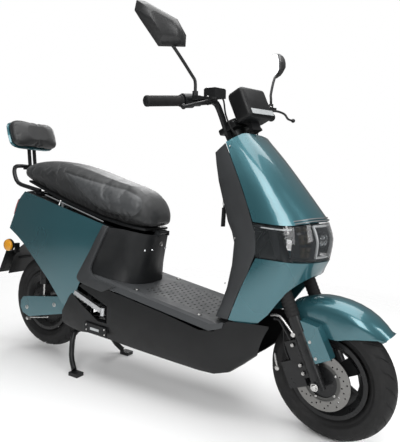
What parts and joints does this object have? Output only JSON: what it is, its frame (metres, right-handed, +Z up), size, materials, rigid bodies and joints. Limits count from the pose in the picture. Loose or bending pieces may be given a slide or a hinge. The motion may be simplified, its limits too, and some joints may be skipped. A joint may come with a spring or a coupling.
{
  "type": "electric moped scooter",
  "caption": "Step-through electric moped scooter on its centre stand, with steering, fork, wheels, swingarm, seat, mirrors, levers and stand that move.",
  "frame": {"origin": "under the middle of the bounding box, on the ground", "axes": "+X forward, +Y to the rider's left, +Z up; the front wheel is turned 10 degrees to the right"},
  "size_m": [1.7594, 0.8118, 1.3488],
  "materials": {
    "teal_paint": "deep teal-blue gloss lacquer",
    "charcoal_plastic": "fine-grained moulded plastic",
    "black_plastic": "satin moulded plastic",
    "frame_paint": "black powder coat",
    "black_metal": "semi-gloss black",
    "aluminium": "satin cast",
    "steel": "brushed",
    "bright_trim": "polished",
    "clear_lens": "smoked clear",
    "red_lens": "moulded lens",
    "amber_lens": "moulded lens",
    "button_yellow": "plain",
    "screen": "pale cover strip and dark screen",
    "battery_case": "plain",
    "rubber": "matt",
    "tyre": "matt",
    "seat_cover": "soft synthetic leather"
  },
  "bodies": {
    "chassis": {"frame_front": "frame_paint", "frame_rear": "frame_paint", "battery_pack": "battery_case", "motor_controller": "aluminium", "floor_board": "charcoal_plastic", "inner_leg_shield": "charcoal_plastic", "front_shield": "teal_paint", "front_apron": "teal_paint", "headlight_housing": "black_plastic", "headlight_lens": "clear_lens", "chrome_trim": "bright_trim", "side_panels": "teal_paint", "under_seat_cover": "black_plastic", "storage_bucket": "black_plastic", "tail_cover": "charcoal_plastic", "tail_light": "red_lens", "skirts": "black_plastic", "belly_pan": "black_plastic", "rear_mudguard": "black_plastic", "indicators": "amber_lens", "grab_rail": "frame_paint", "backrest_stem": "black_metal", "backrest_shell": "teal_paint", "backrest_pad": "seat_cover", "ignition_lock": "black_plastic", "shocks": "black_metal"},
    "key": {"key": "steel"},
    "key_fob": {"key_fob": "black_plastic"},
    "steering": {"steering_stem": "frame_paint", "fork_stanchions": "bright_trim", "fork_bellows": "rubber", "handlebar": "frame_paint", "display_pod": "black_plastic", "display_face": "screen", "left_grip": "rubber", "switch_pods": "black_plastic", "lever_perches": "black_metal", "control_cables": "rubber"},
    "fork_lower": {"fork_sliders": "black_metal", "front_fender": "teal_paint", "front_caliper": "black_metal"},
    "front_wheel": {"front_tyre": "tyre", "front_rim": "black_metal", "brake_disc": "steel"},
    "throttle": {"throttle_grip": "rubber"},
    "lever_right": {"brake_lever_right": "black_metal"},
    "lever_left": {"brake_lever_left": "black_metal"},
    "horn_button": {"horn_button": "button_yellow"},
    "mirror_right": {"mirror_right": "black_plastic"},
    "mirror_left": {"mirror_left": "black_plastic"},
    "swingarm": {"swingarm": "frame_paint", "swing_covers": "teal_paint"},
    "rear_wheel": {"rear_tyre": "tyre", "hub_motor": "black_metal"},
    "shock_rods": {"shock_rods": "steel"},
    "stand": {"centre_stand": "frame_paint"},
    "seat": {"seat_pan": "black_plastic", "seat_cushion": "seat_cover"},
    "footpeg_left": {"footpeg_left": "aluminium"},
    "footpeg_right": {"footpeg_right": "aluminium"}
  },
  "joints": [
    {"name": "steering", "type": "hinge", "parent": "chassis", "child": "steering", "pos_m": [0.6525, -0.004, 0.207], "axis": [-0.4384, 0, 0.8988], "range_deg": [-25, 45]},
    {"name": "fork_travel", "type": "slide", "parent": "steering", "child": "fork_lower", "axis": [-0.4384, 0, 0.8988], "range_m": [0, 0.05], "stiffness_N_per_m": 12000, "springref_m": -0.05},
    {"name": "front_wheel_spin", "type": "hinge", "parent": "fork_lower", "child": "front_wheel", "pos_m": [0.6683, -0.0065, 0.2069], "axis": [0.1561, 0.9848, 0.0761], "continuous": true},
    {"name": "throttle_twist", "type": "hinge", "parent": "steering", "child": "throttle", "pos_m": [0.16807, -0.2858, 1.03624], "axis": [-0.4035, -0.9023, -0.1518], "range_deg": [0, 70], "stiffness_Nm_per_rad": 0.25, "springref_deg": -17.19},
    {"name": "lever_right_pull", "type": "hinge", "parent": "steering", "child": "lever_right", "pos_m": [0.26673, -0.19654, 1.04548], "axis": [0.006, 0.0761, -0.9971], "range_deg": [0, 18], "stiffness_Nm_per_rad": 3, "springref_deg": -8.59},
    {"name": "lever_left_pull", "type": "hinge", "parent": "steering", "child": "lever_left", "pos_m": [0.32479, 0.1698, 1.0738], "axis": [-0.006, -0.0761, 0.9971], "range_deg": [0, 18], "stiffness_Nm_per_rad": 3, "springref_deg": -8.59},
    {"name": "horn_press", "type": "slide", "parent": "steering", "child": "horn_button", "axis": [0.9946, 0.1029, 0.0138], "range_m": [0, 0.003], "stiffness_N_per_m": 400, "springref_m": -0.002},
    {"name": "mirror_right_swivel", "type": "hinge", "parent": "steering", "child": "mirror_right", "pos_m": [0.2393, -0.22963, 1.05683], "axis": [-0.006, -0.0761, 0.9971], "range_deg": [-30, 30]},
    {"name": "mirror_left_swivel", "type": "hinge", "parent": "steering", "child": "mirror_left", "pos_m": [0.3086, 0.20763, 1.09063], "axis": [-0.006, -0.0761, 0.9971], "range_deg": [-30, 30]},
    {"name": "key_turn", "type": "hinge", "parent": "chassis", "child": "key", "pos_m": [0.2665, -0.004, 0.742], "axis": [1, 0, 0], "range_deg": [0, 90]},
    {"name": "fob_swing", "type": "hinge", "parent": "key", "child": "key_fob", "pos_m": [0.2465, -0.004, 0.725], "axis": [1, 0, 0], "range_deg": [-90, 0]},
    {"name": "swingarm_swing", "type": "hinge", "parent": "chassis", "child": "swingarm", "pos_m": [-0.3115, -0.004, 0.27], "axis": [0, 1, 0], "range_deg": [0, 11.5], "stiffness_Nm_per_rad": 1300, "springref_deg": -8.59},
    {"name": "rear_wheel_spin", "type": "hinge", "parent": "swingarm", "child": "rear_wheel", "pos_m": [-0.6115, -0.004, 0.224], "axis": [0, 1, 0], "continuous": true},
    {"name": "shock_rod_swing", "type": "hinge", "parent": "swingarm", "child": "shock_rods", "pos_m": [-0.5615, -0.004, 0.248], "axis": [0, 1, 0], "range_deg": [-11.5, 0]},
    {"name": "stand_fold", "type": "hinge", "parent": "chassis", "child": "stand", "pos_m": [-0.3475, -0.004, 0.2], "axis": [0, 1, 0], "range_deg": [0, 75]},
    {"name": "seat_open", "type": "hinge", "parent": "chassis", "child": "seat", "pos_m": [-0.0145, -0.004, 0.592], "axis": [0, 1, 0], "range_deg": [0, 65]},
    {"name": "footpeg_left_fold", "type": "hinge", "parent": "chassis", "child": "footpeg_left", "pos_m": [-0.1635, 0.148, 0.282], "axis": [0, 0, 1], "range_deg": [-80, 0]},
    {"name": "footpeg_right_fold", "type": "hinge", "parent": "chassis", "child": "footpeg_right", "pos_m": [-0.1635, -0.156, 0.282], "axis": [0, 0, 1], "range_deg": [0, 80]}
  ],
  "couplings": [
    {"joint": "fob_swing", "follows": "key_turn", "ratio": -1},
    {"joint": "shock_rod_swing", "follows": "swingarm_swing", "ratio": -1}
  ]
}
